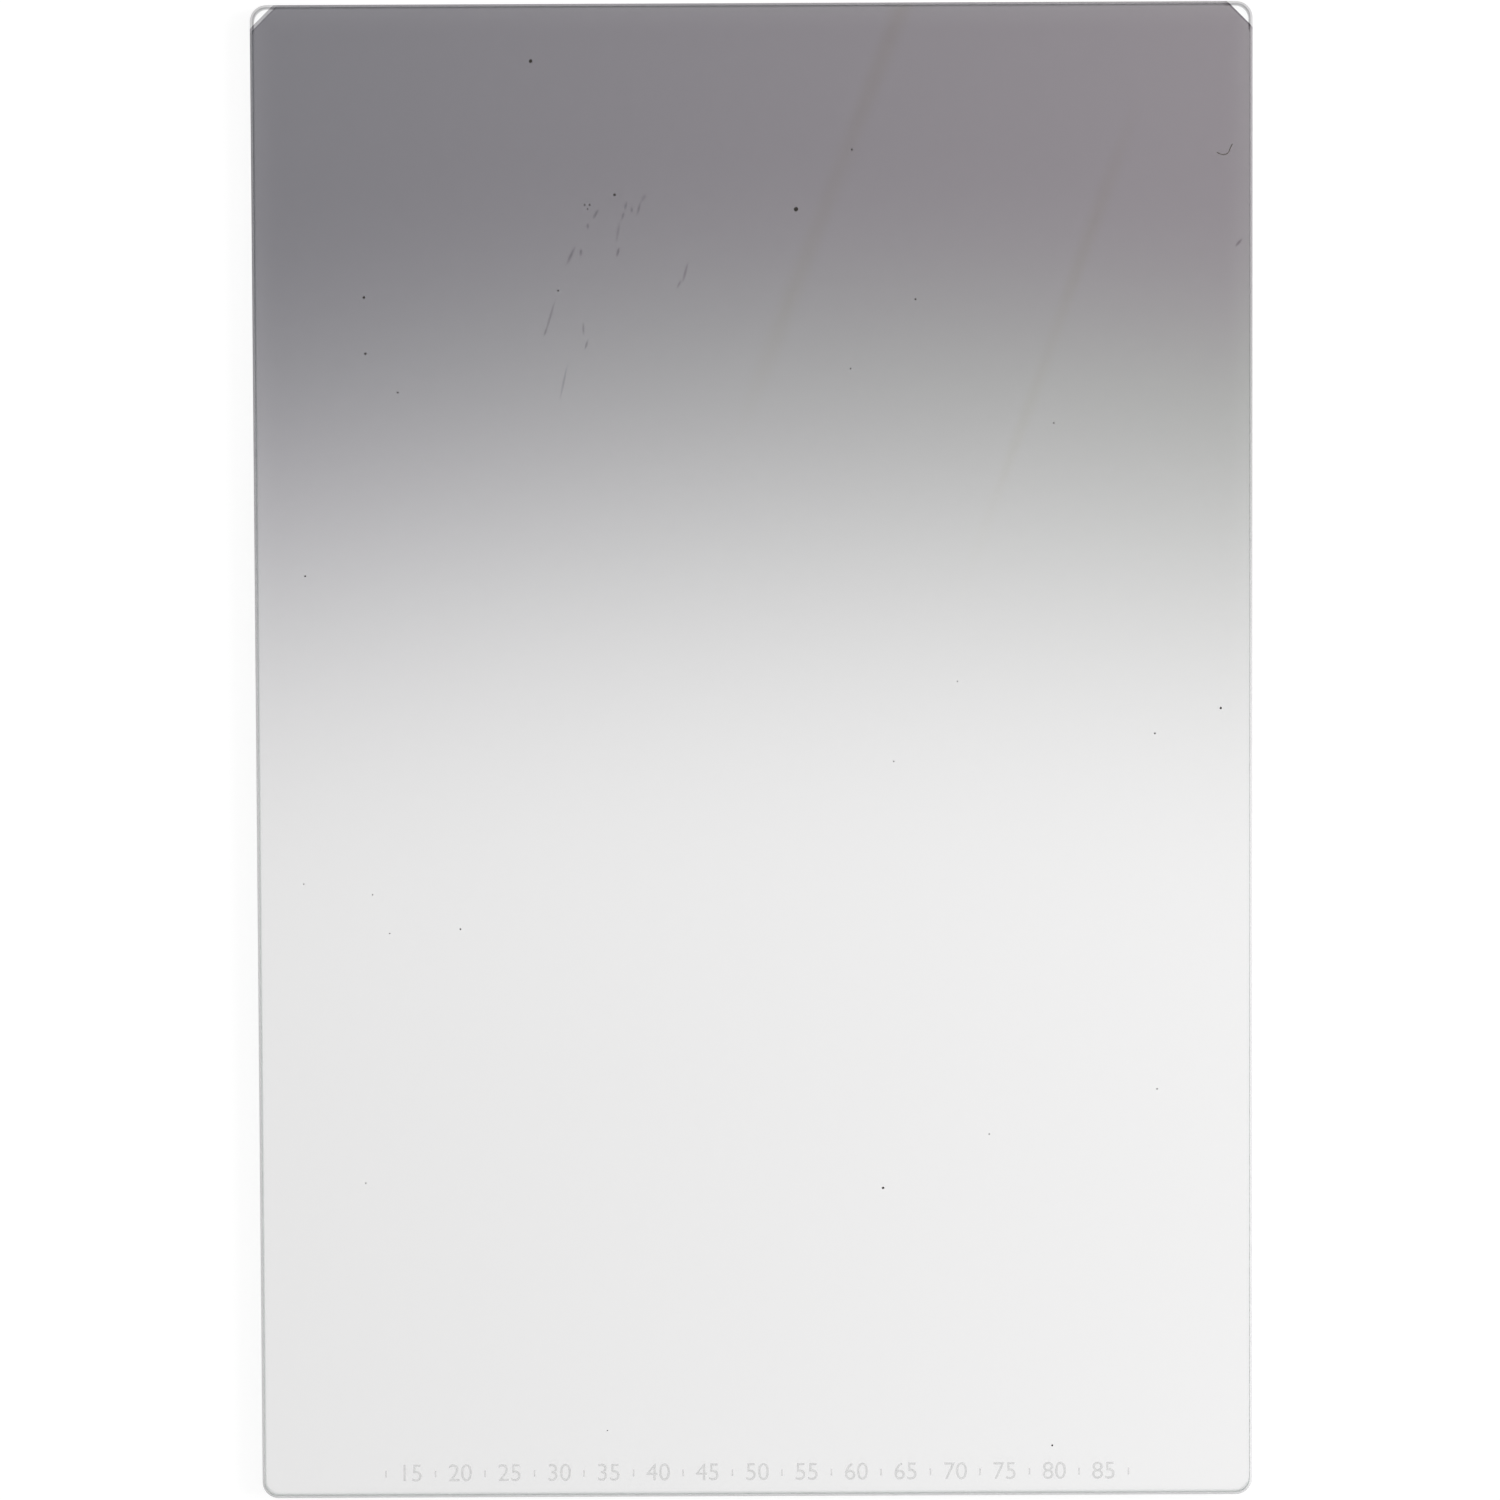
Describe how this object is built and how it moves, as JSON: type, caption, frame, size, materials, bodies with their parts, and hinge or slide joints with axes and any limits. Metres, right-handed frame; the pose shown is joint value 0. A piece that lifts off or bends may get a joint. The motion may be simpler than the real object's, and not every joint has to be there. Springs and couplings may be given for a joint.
{
  "type": "graduated neutral density filter",
  "caption": "Rectangular glass filter plate for a slide-in lens filter holder: a grey film, dense at one end, fades softly to clear, so that a bright sky is darkened and the ground is not.",
  "frame": {"origin": "centre of the underside of the glass, where the plate lies on a table", "axes": "+Z through the thickness, from the underside to the film side; +Y along the length, from the clear end to the dense end; +X across the width, to the right when the film side faces the viewer and the dense end is up"},
  "size_m": [0.1, 0.15, 0.002],
  "materials": {
    "clear_glass": "optical glass, polished faces, finely ground edges and bevels",
    "nd_film": "vacuum-deposited metal film, smooth, graded from dense to clear",
    "print_ink": "thin screen-printed grey ink",
    "dust": "loose dust specks and lint fibres"
  },
  "bodies": {
    "root": {"glass_plate": "clear_glass", "nd_coating": "nd_film"}
  },
  "joints": []
}
